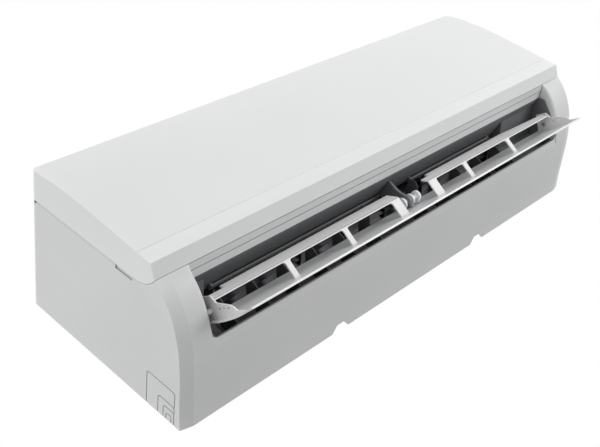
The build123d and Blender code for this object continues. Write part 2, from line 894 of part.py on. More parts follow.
def end_wall_section():
    """Side view of the air stream, in front down to the cheek wall."""
    return outline(
        (strip_back, strip_z - fit_gap),
        duct_front_end,
        duct_rear_end,
        (tongue_y + 1, tongue_z - side_drop),
        moved(lower_wall_end, -2 * fit_gap, -fit_gap),
        moved(lip, *side_edge),
        *reversed(rim_points[1:]),
    )


def along_vane(t, s):
    """Section point at t down the swing axis and s upstream of it."""
    a = radians(swing_tilt)
    return (swing_foot[0] + t * sin(a) + s * cos(a), swing_foot[1] - t * cos(a) + s * sin(a))


def swing_rod(x, t0, t1, s, r):
    """Round pin or bore along the swing axis direction of a vertical vane."""
    top = along_vane(t0, s)
    low = along_vane(t1, s)
    axis = Plane(origin=(x, top[0], top[1]), z_dir=(0, low[0] - top[0], low[1] - top[1]))
    return axis * Pos(0, 0, (t1 - t0) / 2) * Cylinder(r, t1 - t0)


def vane_places(side):
    """Positions of the vertical vanes left (-1) or right (+1)."""
    if side < 0:
        return [vane_left_first + i * swing_vane_pitch for i in range(vane_left_count)]
    return [vane_right_first + i * swing_vane_pitch for i in range(vane_right_count)]


def vane_rail(x0, x1):
    """Rail below the duct's front wall with a slot between them."""
    start = past(duct_front_end, duct_rear_end, -rail_deep)
    drop = -rail_gap - rail_thick / 2
    rail = prism(strip(start, duct_rear_end, rail_thick, drop), x0, x1)
    foot = strip(start, duct_rear_end, rail_gap + 1, -rail_gap / 2)
    return rail + prism(foot, x0, x0 + rail_foot) + prism(foot, x1 - rail_foot, x1)


def outlet_duct():
    walls = strip(duct_front_end, duct_rear_end, duct_wall, duct_wall / 2) + lower_wall_section()
    ends = end_wall_section()
    duct = prism(ends, -duct_half, -duct_half + duct_wall) + prism(ends, duct_half - duct_wall, duct_half)
    duct += prism(ends, in_left - duct_wall, in_left) + prism(ends, in_right, in_right + duct_wall)
    filler = outline(*filler_points)
    duct += prism(filler, -duct_half, in_left) + prism(filler, in_right, duct_half)
    far = 2 * case_depth
    front = outline(duct_front_end, (-far, duct_front_end[1]), (-far, -far), (filler_points[2][0], -far),
                    filler_points[2], filler_points[1], filler_points[0])
    duct -= prism(front, -duct_half + duct_wall, in_left) + prism(front, in_right, duct_half - duct_wall)
    duct += prism(walls, -duct_half, duct_half)
    duct += rod((tongue_y, tongue_z), tongue_r, -duct_half, duct_half)
    duct += vane_rail(in_left + rail_left_end, rail_left_stop)
    duct += vane_rail(rail_right_stop, in_right - rail_right_end)
    for x in vane_places(-1) + vane_places(1):
        duct -= swing_rod(x, swing_pin_bore, swing_pin_bore + swing_pin_length, 0, swing_pin_r + run_gap)
    duct += centre_arm()
    duct -= rod(flap_axis, flap_pin_r + run_gap, -half, in_left - duct_wall - 1)
    duct -= rod(flap_axis, drive_boss_r + fit_gap, in_right + duct_wall + 1, half)
    return duct


def centre_arm():
    """Arm that carries the flap in the middle."""
    tip_front = moved(flap_axis, -arm_tip_r, 0)
    tip_rear = moved(flap_axis, arm_tip_r, 0)
    root = at(*arm_root)
    front = [at(*p) for p in arm_front]
    rear = [at(*p) for p in arm_rear]
    edges = [
        Line(root, front[0]),
        Spline(*front),
        Line(front[-1], tip_front),
        ThreePointArc(tip_front, moved(flap_axis, 0, -arm_tip_r), tip_rear),
        Spline(tip_rear, *rear),
        Line(rear[-1], root),
    ]
    arm = prism(make_face(edges), arm_x - arm_thick / 2, arm_x + arm_thick / 2)
    return arm - rod(flap_axis, flap_pin_r + run_gap, arm_x - arm_thick, arm_x + arm_thick)


# ================================================================ flap
def on_flap(dy, dz):
    """Section point given from the flap's axis."""
    return moved(flap_axis, dy, dz)


def flap_points():
    """Outer profile of the flap in its open rest position."""
    return [turned(p, flap_open, flap_axis) for p in flap_shut]


def flap_inside():
    """Region on the outer side of the flap's inner surface."""
    inner = shifted(flap_points(), flap_thick)
    rear = turned(on_flap(beyond, -beyond), flap_open, flap_axis)
    front = turned(on_flap(-1.5 * beyond, -beyond), flap_open, flap_axis)
    edges = [
        Spline(*inner),
        Line(inner[-1], rear),
        Line(rear, front),
        Line(front, inner[0]),
    ]
    return make_face(edges)


def flap_outline():
    """Cutter that keeps the flap's plan with its rounded front corners."""
    long = 2 * case_depth
    plan = Pos(0, long / 2) * Rectangle(2 * flap_half, long)
    plan = fillet(plan.vertices().sort_by(Axis.Y)[:2], flap_corner)
    tip = flap_shut[0]
    cutter = Pos(0, tip[0] - flap_axis[0], 0) * extrude(plan, amount=beyond, both=True)
    return Pos(0, *flap_axis) * (Rot(flap_open, 0, 0) * cutter)


def flap_plate():
    plate = prism(band(flap_points(), flap_thick), -flap_half, flap_half) & flap_outline()
    foot = turned(on_flap(*lug_foot), flap_open, flap_axis)
    outside = flap_inside()
    for x in lug_places:
        lug = rod(flap_axis, lug_r, x, x + lug_thick)
        lug += prism(strip(flap_axis, foot, lug_wide), x, x + lug_thick)
        lug -= prism(outside, x - 1, x + lug_thick + 1)
        plate += lug - rod(flap_axis, flap_pin_r + run_gap, x - 1, x + lug_thick + 1)
    return plate


def end_plate():
    """Side view of the flap frame's outer ends, with drain slots."""
    plate = outline(*[on_flap(*p) for p in end_plate_points])
    for start, end in end_plate_slots:
        plate -= strip(on_flap(*start), on_flap(*end), slot_wide)
    return plate


def frame_plane(top, foot):
    """Plane through two section points; its y runs from top to foot."""
    return Plane(origin=(0, top[0], top[1]), x_dir=(1, 0, 0), z_dir=(0, top[1] - foot[1], foot[0] - top[0]))


def frame_web(x0, x1, windows):
    """Flat web below the inner vane, open between its straps."""
    front = on_flap(*bar_front)
    web = extrude(frame_plane(front, on_flap(*strap_foot)) * slab_plan(x0, x1, 0, strap_reach),
                  amount=vane_thick / 2, both=True)
    for a, b in windows:
        plan = slab_plan(a, b, strap_margin, 2 * strap_reach)
        plan = fillet(plan.vertices(), window_round)
        web -= extrude(frame_plane(front, on_flap(*strap_foot)) * plan, amount=vane_thick, both=True)
    return web


def slab_plan(x0, x1, s0, s1):
    """Rectangle given across the width and down from the plane's top edge."""
    return Pos((x0 + x1) / 2, (s0 + s1) / 2) * Rectangle(x1 - x0, s1 - s0)


def flap_frame(rear_edge, straps, wing_x, leg_x):
    """Inner vane with its straps, an end plate outside and a broad leg inside."""
    front = on_flap(*bar_front)
    rear = on_flap(*bar_rear)
    ends = (rear_edge[0][0], rear_edge[-1][0])
    deep = hypot(rear[0] - front[0], rear[1] - front[1])
    plan = [(ends[0], 0), *[(x, share * deep) for x, share in rear_edge], (ends[1], 0)]
    bar = make_face(Polyline(*plan, close=True))
    frame = extrude(frame_plane(front, rear) * bar, amount=vane_thick / 2, both=True)
    inward = leg_wide if leg_x < wing_x else -leg_wide
    stops = sorted([wing_x, leg_x + inward] + [x - strap_wide / 2 for x in straps]
                   + [x + strap_wide / 2 for x in straps])
    windows = [(stops[i], stops[i + 1]) for i in range(0, len(stops), 2)]
    frame += frame_web(*ends, windows)
    body_side = vane_thick if wing_x < 0 else -vane_thick
    frame += prism(end_plate(), wing_x, wing_x + body_side)
    return frame - prism(flap_inside(), -half, half)


def flap_frame_left():
    outer = -frame_half
    step = outer + frame_step
    rear_edge = ((outer, bar_narrow), (step, bar_narrow), (step, 1), (frame_left_end, 1))
    frame = flap_frame(rear_edge, straps_left, outer, frame_left_end)
    return frame + rod(flap_axis, flap_pin_r, -outlet_half + fit_gap, outer + 1)


def flap_frame_right():
    outer = frame_half
    rear_edge = ((frame_right_end, bar_narrow), (frame_right_end + inner_step, bar_narrow),
                 (frame_right_end + inner_step, 1), (outer - bar_taper, 1), (outer, bar_tip))
    frame = flap_frame(rear_edge, straps_right, outer, frame_right_end)
    return frame - rod(flap_axis, drive_shaft_r + run_gap, outer - 2 * vane_thick, outer + 1)


def flap_pin():
    return rod(flap_axis, flap_pin_r, lug_places[0] - lug_thick, lug_places[-1] + lug_thick + 1)


def flap_motor_shaft():
    return rod(flap_axis, drive_shaft_r, frame_half - vane_thick - lug_thick, drive_x + drive_grip)


def flap_motor():
    x0 = duct_half - duct_wall
    body = rod(on_flap(*drive_offset), drive_r, drive_x, drive_x + drive_thick)
    body += rod(flap_axis, drive_boss_r, x0, drive_x + 1)
    return body - rod(flap_axis, drive_shaft_r + run_gap, x0 - 1, drive_x + drive_grip + 0.5)


# ================================================================ vertical vanes
def swing_vane(x, gripped):
    """One vertical vane with its pivot and link pins; the gripped ones carry a paddle."""
    points = [moved(swing_foot, *p) for p in (paddle_points if gripped else vane_points)]
    vane = prism(outline(*points), x - swing_vane_thick / 2, x + swing_vane_thick / 2)
    vane += swing_rod(x, -1, swing_pin_length, 0, swing_pin_r)
    vane += swing_rod(x, -link_pin_up, link_t + link_thick + link_pin_down, crank, link_pin_r)
    return vane


def link_bar(side):
    """Bar that turns one bank of vertical vanes together."""
    places = vane_places(side)
    centre = (places[0] + places[-1]) / 2
    length = places[-1] - places[0] + 2 * link_over
    top = along_vane(link_t, crank)
    low = along_vane(link_t + link_thick, crank)
    down = (0, low[0] - top[0], low[1] - top[1])
    flat = Plane(origin=(centre, top[0], top[1]), x_dir=(1, 0, 0), z_dir=down)
    bar = extrude(Rectangle(length, link_width), amount=link_thick)
    sag = crank * (1 - cos(radians(swing_limit)))
    slip = crank * (radians(swing_limit) - sin(radians(swing_limit)))
    wide = 2 * (link_pin_r + slip + run_gap)
    tall = 2 * (link_pin_r + run_gap) + sag
    shift = -sag / 2 if flat.y_dir.Y > 0 else sag / 2
    for x in places:
        bar -= Pos(x - centre, shift, link_thick / 2) * Box(wide, tall, 2 * link_thick)
    return flat * bar


# ================================================================ fan
def fan_wheel():
    """Tangential fan wheel: curved blades between discs."""
    axis = (fan_y, fan_z)
    ring = Pos(*axis) * (Circle(fan_r) - Circle(fan_r - fan_blade_depth - 1))
    hub = Pos(*axis) * (Circle(fan_r - fan_blade_depth) - Circle(shaft_r + run_gap))
    boss = Pos(*axis) * (Circle(3 * shaft_r) - Circle(shaft_r + run_gap))
    pitch = (fan_right - fan_left - disc_thick) / (fan_discs - 1)
    parts = []
    for i in range(fan_discs):
        x = fan_left + i * pitch
        parts.append(prism(ring, x, x + disc_thick))
    parts.append(prism(hub, fan_left, fan_left + disc_thick))
    parts.append(prism(hub, fan_right - disc_thick, fan_right))
    parts.append(prism(boss, fan_left, fan_left + hub_length))
    parts.append(prism(boss, fan_right - hub_length, fan_right))
    for k in range(fan_blades):
        a = 360 * k / fan_blades
        inner = turned(moved(axis, fan_r - fan_blade_depth, 0), a, axis)
        outer = turned(moved(axis, fan_r - 0.8, 0), a + blade_sweep, axis)
        parts.append(prism(strip(inner, outer, fan_blade_thick), fan_left + 0.5, fan_right - 0.5))
    return parts[0].fuse(*parts[1:])


def motor_shaft():
    return rod((fan_y, fan_z), shaft_r, fan_right - hub_length, motor_x + shaft_grip)


def fan_stub_shaft():
    return rod((fan_y, fan_z), shaft_r, in_left - duct_wall - bearing_thick + 1, fan_left + hub_length)


def fan_bearing():
    x = in_left - duct_wall
    ring = rod((fan_y, fan_z), bearing_r, x - bearing_thick, x)
    return ring - rod((fan_y, fan_z), shaft_r + run_gap, x - bearing_thick - 1, x + 1)


def fan_motor():
    axis = (fan_y, fan_z)
    rear = motor_x + motor_length
    body = rod(axis, motor_r, motor_x, rear)
    body = fillet([e for e in body.edges() if e.geom_type == GeomType.CIRCLE], motor_round)
    body += rod(axis, motor_boss, motor_x - motor_boss_front, motor_x + 1)
    body += rod(axis, motor_boss, rear - 1, rear + motor_boss_rear)
    return body - rod(axis, shaft_r + run_gap, motor_x - motor_boss_front - 1, motor_x + shaft_grip + 2)


def clamp_half(side):
    """Half ring round the motor with a flange above and below, in front (-1) or behind (+1)."""
    wide = 2 * motor_r
    ring = Pos(fan_y, fan_z) * (Circle(motor_r + run_gap + clamp_thick) - Circle(motor_r + run_gap))
    section = ring & (Pos(fan_y + side * (wide + clamp_split) / 2, fan_z) * Rectangle(wide, 2 * wide))
    for level in (-1, 1):
        z = fan_z + level * (motor_r + 1 + clamp_flange / 2)
        y = fan_y + side * (clamp_split + clamp_thick) / 2
        section += Pos(y, z) * Rectangle(clamp_thick, clamp_flange)
    return section


def clamp_screw_z(level):
    return fan_z + level * (motor_r + clamp_thick + 5)


def motor_clamp():
    clamp = prism(clamp_half(-1), clamp_x0, clamp_x1)
    for level in (-1, 1):
        clamp -= across_wall(clamp_x, fan_y, clamp_screw_z(level), clamp_screw_r + clamp_bore_gap, 20)
    return clamp


def motor_clamp_screws():
    screws = []
    face = fan_y - clamp_split / 2 - clamp_thick
    for level in (-1, 1):
        z = clamp_screw_z(level)
        screw = across_wall(clamp_x, face + clamp_screw_length / 2, z, clamp_screw_r, clamp_screw_length)
        screw += across_wall(clamp_x, face - clamp_head / 2, z, clamp_head_r, clamp_head)
        screws.append(screw)
    return Compound(children=screws)


# ================================================================ coil
def coil_block(foot, top):
    """Fin pack between two points of its middle line."""
    return prism(strip(foot, top, coil_thick), coil_left, coil_right)


def tube_line(foot, top, count):
    """Tube centres spread about the middle of a fin pack."""
    length = hypot(top[0] - foot[0], top[1] - foot[1])
    first = (length - (count - 1) * tube_pitch) / 2
    return [past(foot, top, first + i * tube_pitch - length) for i in range(count)]


def tube_plate_shape(x0):
    """End plate that carries the three fin packs and rests on the chassis."""
    wide = coil_thick + 2 * tube_plate_over
    lap = tube_plate_lap
    section = strip(front_low_foot, past(front_low_foot, front_low_top, lap), wide)
    section += strip(past(upper_top, upper_foot, lap), past(upper_foot, upper_top, lap), wide)
    section += strip(past(rear_top, rear_foot, tube_plate_over), past(rear_foot, rear_top, 2 * lap), wide)
    section += outline(moved(rear_foot, 0, -tube_plate_foot), (back_front, rear_foot[1] - tube_plate_foot),
                       (back_front, rear_foot[1] + tube_plate_foot), moved(rear_foot, 0, tube_plate_foot))
    return prism(section, x0, x0 + tube_plate)


def return_bend(a, b, x, side):
    """Half-round tube between two tube ends, standing out to one side."""
    r = hypot(b[0] - a[0], b[1] - a[1]) / 2
    path = ThreePointArc((x, *a), (x + side * r, (a[0] + b[0]) / 2, (a[1] + b[1]) / 2), (x, *b))
    return sweep(Plane(origin=path @ 0, z_dir=path % 0) * Circle(tube_r), path=path)


def bends(x, side, pairs):
    return Compound(children=[return_bend(a, b, x, side) for a, b in pairs])


# ================================================================ pipes and drain
def pipe(points, r, bend_r):
    """Round tube along a bent path."""
    path = FilletPolyline(*points, radius=bend_r)
    return sweep(Plane(origin=path @ 0, z_dir=path % 0) * Circle(r), path=path)


def gas_pipe():
    y, z = tubes_rear[0]
    return pipe([
        (coil_right + tube_plate, y, z), (gas_x, y, z), (gas_x, gas_y, z - gas_step), (gas_x, gas_y, gas_z),
        (gas_end, gas_y, gas_z),
    ], gas_r, gas_bend)


def liquid_pipe():
    y, z = tubes_low[0]
    return pipe([
        (coil_right + tube_plate, y, z), (liquid_x, y, z), (liquid_x, liquid_y, z),
        (liquid_x, liquid_y, liquid_z), (liquid_end, liquid_y, liquid_z),
    ], liquid_r, liquid_bend)


def flare_union(x, centre, pipe_r, thread_r, nut_r):
    """Hexagon and threaded nose at a pipe's end, reaching left from x."""
    hexagon = extrude(Plane.YZ.offset(x) * (Pos(*centre) * RegularPolygon(nut_r, 6)), amount=-union_hex)
    nose = rod(centre, thread_r, x - union_hex - union_nose, x - union_hex)
    return hexagon + nose - rod(centre, pipe_r + run_gap, x - union_hex - union_nose - 1, x + 1)


def pipe_clip(x):
    """Holder for both refrigerant pipes on the chassis's leg."""
    clip = block(x, x + clip_wide, liquid_y - clip_front, back_front,
                 gas_z - clip_below, liquid_z + clip_above)
    clip -= rod((gas_y, gas_z), gas_r + run_gap, x - 1, x + clip_wide + 1)
    return clip - rod((liquid_y, liquid_z), liquid_r + run_gap, x - 1, x + clip_wide + 1)


def duct_top(y):
    """Height of the upper face of the duct's front wall."""
    slope = (duct_rear_end[1] - duct_front_end[1]) / (duct_rear_end[0] - duct_front_end[0])
    return duct_front_end[1] + (y - duct_front_end[0]) * slope + duct_wall * hypot(1, slope)


def drain_pan():
    """Trough under the front coil, resting on the duct's sloping wall."""
    y0 = pan_y0 + pan_wall
    y1 = pan_y1 - pan_wall
    outer = outline((pan_y0, duct_top(pan_y0)), (pan_y1, duct_top(pan_y1)), (pan_y1, pan_top),
                    (pan_y0, pan_top))
    inner = outline((y0, duct_top(y0) + pan_wall), (y1, duct_top(y1) + pan_wall), (y1, pan_top + 1),
                    (y0, pan_top + 1))
    pan = prism(outer, pan_left, pan_right) - prism(inner, pan_left + pan_wall, pan_right - pan_wall)
    s0 = coil_y - coil_thick / 2 + pan_wall
    s1 = coil_y + coil_thick / 2 - pan_wall
    seat = outline((s0, duct_top(s0) + 1), (s1, duct_top(s1) + 1), (s1, coil_low_z), (s0, coil_low_z))
    for i in range(pan_seats):
        x = coil_left + pan_seat_inset + i * pan_seat_pitch
        pan += prism(seat, x, x + pan_seat)
    return pan - across_wall(spout_x, pan_y1, spout_z, spout_bore, 6 * pan_wall)


def drain_spout():
    """Hose spout at the rear of the pan's deep end."""
    spout = across_wall(spout_x, pan_y1 + spout_length / 2, spout_z, spout_r, spout_length)
    return spout - across_wall(spout_x, pan_y1, spout_z, spout_bore, 4 * spout_length)


# ================================================================ chassis
def scroll_at(angle, outside):
    """Point of the scroll at an angle from the fan's axis, moved outside its inner face."""
    share = (scroll_from - angle) / (scroll_from - scroll_to)
    r = scroll_start + share * scroll_growth + outside
    return (fan_y + r * cos(radians(angle)), fan_z + r * sin(radians(angle)))


def scroll_section():
    """Side view of the wall behind the fan, from the trough down to the duct."""
    steps = [scroll_from + i * (scroll_to - scroll_from) / scroll_steps for i in range(scroll_steps + 1)]
    start = scroll_at(scroll_from, 0)
    rear = start[0] + scroll_wall
    above = outline(start, (rear, start[1]), (rear, trough_top), (start[0], trough_top))
    return band([scroll_at(a, 0) for a in steps], scroll_wall) + above


def fan_side():
    """Side view of the fan chamber behind the air duct."""
    return outline(
        (tongue_y + 3.2, tongue_z - 1.0),
        (tongue_y + 3.5, tongue_z + 3.5),
        (chamber_front, tongue_z + 8.5),
        (chamber_front, front_low_top[1] - 12.0),
        (fan_y - 24.0, front_low_top[1] + 16.0),
        (fan_y + 14.0, front_low_top[1] + 28.0),
        (-trough_front, trough_top),
        (back_front - 1, trough_top),
        (back_front - 1, back_low),
        (-12.0, back_low - 14.0),
        moved(lower_wall_end, 28.0, 12.6),
        moved(lower_wall_end, 0, -1.5),
        lower_wall_end,
    )


def web_section():
    """Side view of the webs between the scroll and the back panel."""
    mid = scroll_wall / 2
    start = scroll_at(scroll_from, 0)
    return outline(
        (back_front + 1, trough_top - 1),
        (start[0] + 1, trough_top - 1),
        scroll_at(scroll_from, mid),
        scroll_at(scroll_from / 2, mid),
        scroll_at(0, mid),
        scroll_at(-scroll_from / 2, mid),
        (scroll_at(-scroll_from / 2, mid)[0], back_low),
        (back_front + 1, back_low),
    )


def chassis():
    side = half - wall - fit_gap
    frame = block(-side, side, back_front, back_y, back_low, back_high)
    for x in (-clip_place - clip_wide, clip_place):
        frame += block(x - leg_over, x + clip_wide + leg_over, back_front, back_y,
                       gas_z - clip_below, back_low + 1)
    x0 = in_left - duct_wall
    x1 = in_right + duct_wall
    frame += prism(scroll_section(), x0, x1)
    front = -trough_front
    low = trough_top - web_thick
    trough = outline((back_front - 1, low), (front, low), (front, trough_top + trough_lip),
                     (front + web_thick, trough_top + trough_lip), (front + web_thick, trough_top),
                     (back_front - 1, trough_top))
    frame += prism(trough, coil_left, coil_right)
    web = web_section()
    for x in (x0, *web_places, x1 - web_thick):
        frame += prism(web, x, x + web_thick)
    frame += prism(fan_side(), x0, in_left) + prism(fan_side(), in_right, x1)
    frame -= rod((fan_y, fan_z), 2 * shaft_r, x0 - 1, x1 + 1)
    cradle = prism(clamp_half(1), clamp_x0, clamp_x1)
    cradle += block(clamp_x0, clamp_x1, fan_y + motor_r + 2, back_front + 1,
                    fan_z - cradle_arm / 2, fan_z + cradle_arm / 2)
    for level in (-1, 1):
        cradle -= across_wall(clamp_x, fan_y, clamp_screw_z(level), clamp_screw_r + run_gap, 20)
    frame += cradle
    for x in (-hook_x, hook_x):
        frame -= block(x - hook_width / 2 - 1, x + hook_width / 2 + 1, back_front - 1, back_y + 1,
                       hook_z - hook_hole, hook_z + plate_thick + run_gap)
    return frame - across_wall(inlet_x, back_y, fan_z, inlet_r - inlet_groove, 20)


def wall_plate():
    """Steel plate screwed to the wall; its hooks carry the unit."""
    plate = block(-plate_half, plate_half, -plate_thick, 0, plate_low, plate_high)
    rear = back_front - fit_gap
    for x in (-hook_x, hook_x):
        x0 = x - hook_width / 2
        x1 = x + hook_width / 2
        plate += block(x0, x1, -plate_thick, 0, plate_high - 1, hook_z + plate_thick)
        plate += block(x0, x1, rear - plate_thick, -plate_thick + 0.1, hook_z, hook_z + plate_thick)
        plate += block(x0, x1, rear - plate_thick, rear, hook_z, hook_z + hook_lip)
        plate -= block(x - window_wide / 2, x + window_wide / 2, -2 * plate_thick, 1,
                       plate_low + window_low, plate_low + window_high)
    middle = (plate_low + plate_high) / 2
    for x in (screw_inset - half, half - screw_inset):
        for z in (middle - screw_span_z / 2, middle + screw_span_z / 2):
            plate -= across_wall(x, 0, z, screw_hole_r, 10)
    return plate


def cable_inlet():
    """Rubber ring for the cable in the back wall."""
    middle = (back_y + back_front) / 2
    ring = across_wall(inlet_x, middle, fan_z, inlet_r - inlet_groove, back_thick)
    for side in (-1, 1):
        y = middle + side * (back_thick + inlet_flange) / 2
        ring += across_wall(inlet_x, y, fan_z, inlet_r, inlet_flange)
    return ring - across_wall(inlet_x, middle, fan_z, inlet_bore, 20)


# ================================================================ electrics
def control_box():
    box = block(box_x0, box_x1, box_y0, box_y1, box_z0, box_z1)
    box -= block(box_x0 + box_wall, box_x1 + 1, box_y0 + box_wall, box_y1 - box_wall,
                 box_z0 + box_wall, box_z1 - box_wall)
    return box + block(box_x0, box_x0 + box_wall, box_y1 - 1, back_front, box_z1 - box_bracket, box_z1)


def control_box_lid():
    return block(box_x1, box_x1 + lid_thick, box_y0, box_y1, box_z0, box_z1)


def board_stud(y, z):
    """Square stud between the box's floor and the main board."""
    x = box_x0 + box_wall
    return block(x, box_x0 + board_stand, y, y + board_edge, z, z + board_edge)


def main_board():
    """Circuit board with a transformer, a relay and capacitors."""
    x = box_x0 + board_stand
    face = x + board_thick
    y0 = box_y0 + board_edge
    y1 = box_y1 - board_edge
    z0 = box_z0 + board_lift
    z1 = box_z1 - board_edge
    board = block(x, face, y0, y1, z0, z1)
    board += board_stud(y0 + board_edge, z0 + board_edge)
    board += board_stud(y1 - 2 * board_edge, z1 - 3 * board_edge)
    board += block(x + 1, x + transformer[0], y0 + board_edge, y0 + board_edge + transformer[1],
                   z1 - board_edge - transformer[2], z1 - board_edge)
    board += block(x + 1, x + relay[0], y1 - board_edge - relay[1], y1 - board_edge,
                   z0 + 3 * board_edge, z0 + 3 * board_edge + relay[2])
    for i in range(capacitor_count):
        y = y0 + 3 * board_edge + i * capacitor_pitch
        board += rod((y, z0 + 4 * board_edge), capacitor_r, x + 1, x + capacitor_high)
    return board


def terminal_block():
    y0 = box_y0 + terminal_inset
    y1 = y0 + terminal_count * terminal_pitch + box_wall
    x0 = box_x0 + box_wall
    z0 = box_z0 + box_wall
    base = block(x0, x0 + terminal_high, y0, y1, z0, z0 + terminal_high)
    for i in range(terminal_count):
        y = y0 + box_wall + i * terminal_pitch
        base -= block(x0 + terminal_high / 2, x0 + terminal_high + 1, y, y + terminal_slot,
                      z0 + terminal_high / 4, z0 + terminal_high + 1)
    return base


def display_board():
    """Receiver and lamp board behind the panel's right end."""
    y = box_y0 - board_thick
    x0 = button_x - display_left
    board = block(x0, x0 + display_wide, y, box_y0, button_z - display_below, button_z + display_above)
    board += block(button_x - receiver / 2, button_x + receiver / 2, y - receiver_thick, y + 0.5,
                   button_z + receiver_rise, button_z + receiver_rise + receiver)
    for i in range(lamp_count):
        board += across_wall(button_x, y - 1, button_z + lamp_rise + i * lamp_pitch, lamp_r, 4)
    return board


def emergency_button():
    middle = front_y - button_proud + button_length / 2
    stem = across_wall(button_x, middle, button_z, button_r, button_length)
    collar_y = front_y + wall + fit_gap + button_collar_thick / 2
    return stem + across_wall(button_x, collar_y, button_z, button_r + button_collar, button_collar_thick)


# ================================================================ write the pieces
os.makedirs("parts", exist_ok=True)

save("front_casing", front_casing())
save("front_panel", front_panel())
save("air_filter_left", air_filter(-1))
save("air_filter_right", air_filter(1))
save("outlet_duct", outlet_duct())
save("flap_plate", flap_plate())
save("flap_frame_left", flap_frame_left())
save("flap_frame_right", flap_frame_right())
save("flap_pin", flap_pin())
save("flap_motor_shaft", flap_motor_shaft())
save("flap_motor", flap_motor())
for i, x in enumerate(vane_places(-1)):
    save(f"swing_vane_left_{i + 1}", swing_vane(x, i == vane_left_count - 1))
for i, x in enumerate(vane_places(1)):
    save(f"swing_vane_right_{i + 1}", swing_vane(x, i == 0))
save("link_bar_left", link_bar(-1))
save("link_bar_right", link_bar(1))
save("fan_wheel", fan_wheel())
save("motor_shaft", motor_shaft())
save("fan_stub_shaft", fan_stub_shaft())
save("fan_bearing", fan_bearing())
save("fan_motor", fan_motor())
save("motor_clamp", motor_clamp())
save("motor_clamp_screws", motor_clamp_screws())
save("coil_front_lower", coil_block(front_low_foot, front_low_top))
save("coil_front_upper", coil_block(upper_foot, upper_top))
save("coil_rear", coil_block(rear_foot, rear_top))
save("tube_plate_left", tube_plate_shape(coil_left - tube_plate))
save("tube_plate_right", tube_plate_shape(coil_right))
tubes_low = tube_line(front_low_foot, front_low_top, tubes_low_count)
tubes_high = tube_line(upper_foot, upper_top, tubes_high_count)
tubes_rear = tube_line(rear_foot, rear_top, tubes_rear_count)
pairs_left = [
    (tubes_low[0], tubes_low[1]), (tubes_low[2], tubes_low[3]), (tubes_high[0], tubes_high[1]),
    (tubes_high[2], tubes_rear[1]),
]
pairs_right = [(tubes_low[1], tubes_low[2]), (tubes_low[3], tubes_high[0]), (tubes_high[1], tubes_high[2])]
save("tube_bends_left", bends(coil_left - tube_plate, -1, pairs_left))
save("tube_bends_right", bends(coil_right + tube_plate, 1, pairs_right))
save("gas_pipe", gas_pipe())
save("liquid_pipe", liquid_pipe())
save("gas_union", flare_union(gas_end + union_over, (gas_y, gas_z), gas_r, gas_thread_r, gas_nut_r))
save("liquid_union",
     flare_union(liquid_end + union_over, (liquid_y, liquid_z), liquid_r, liquid_thread_r, liquid_nut_r))
save("pipe_clips", Compound(children=[pipe_clip(-clip_place - clip_wide), pipe_clip(clip_place)]))
save("drain_pan", drain_pan())
save("drain_spout", drain_spout())
save("chassis", chassis())
save("wall_plate", wall_plate())
save("cable_inlet", cable_inlet())
save("control_box", control_box())
save("control_box_lid", control_box_lid())
save("main_board", main_board())
save("terminal_block", terminal_block())
save("display_board", display_board())
save("emergency_button", emergency_button())
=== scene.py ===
import bpy
import json
from math import pi
from mathutils import Vector, Matrix

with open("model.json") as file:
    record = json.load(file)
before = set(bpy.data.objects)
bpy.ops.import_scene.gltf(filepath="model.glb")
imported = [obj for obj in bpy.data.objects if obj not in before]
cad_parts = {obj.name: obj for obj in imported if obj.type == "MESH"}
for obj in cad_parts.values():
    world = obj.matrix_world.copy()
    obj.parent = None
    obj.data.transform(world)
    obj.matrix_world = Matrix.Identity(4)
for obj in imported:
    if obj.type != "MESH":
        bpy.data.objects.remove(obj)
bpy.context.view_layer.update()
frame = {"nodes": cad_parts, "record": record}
nodes = frame["nodes"]

# ------------------------------------------------------------------ camera of the photograph
CAMERA_AT = (-0.87954, -0.78512, -0.65783)
CAMERA_FORWARD = (0.6488, 0.5399, 0.5363)
CAMERA_UP = (0.3310, -0.8348, 0.4400)
LENS = 57.05
SENSOR = 36.0
SHIFT_Y = -0.0667

# ------------------------------------------------------------------ studio values, in metres and watts
KEY_AT = (1.2, -2.6, -0.4)
KEY_TARGET = (0.1, -0.1, 0)
KEY_SIZE = 1.6
KEY_POWER = 2
FILL_AT = (1.7, -1.6, -1.5)
FILL_TARGET = (0.15, -0.1, -0.1)
FILL_SIZE = 1.2
FILL_POWER = 26
FLOOR_Z = -2.7
FLOOR_HALF = 60.0
FLOOR_TONE = (0.40, 0.40, 0.40)

# ------------------------------------------------------------------ material values
WHITE = (0.73, 0.735, 0.74)
PANEL_PAINTED_LIGHT = 1.12          # panel's brightness against the casing: painted light, a brighter copy of the white
# flap's brightness against the casing: painted light, a brighter copy of the white
FLAP_PAINTED_LIGHT = 1.2
GROOVE_REACH = 0.003        # groove shading looks this far
GROOVE_TONE = 0.38          # darkest shade in a groove
WIDE = (0.15, 0.85)         # stops of a soft ramp


def make_camera():
    data = bpy.data.cameras.new("camera")
    data.lens = LENS
    data.sensor_width = SENSOR
    data.shift_y = SHIFT_Y
    data.clip_start = 0.01
    data.clip_end = 50.0
    camera = bpy.data.objects.new("camera", data)
    bpy.context.scene.collection.objects.link(camera)
    forward = Vector(CAMERA_FORWARD).normalized()
    up = Vector(CAMERA_UP)
    up = (up - forward * up.dot(forward)).normalized()
    right = forward.cross(up)
    turn = Matrix((right, up, -forward)).transposed()
    camera.matrix_world = Matrix.Translation(CAMERA_AT) @ turn.to_4x4()
    bpy.context.scene.camera = camera


# ------------------------------------------------------------------ material helpers
def new_material(name):
    material = bpy.data.materials.new(name)
    material.use_nodes = True
    tree = material.node_tree
    shader = tree.nodes["Principled BSDF"]
    return material, tree, shader


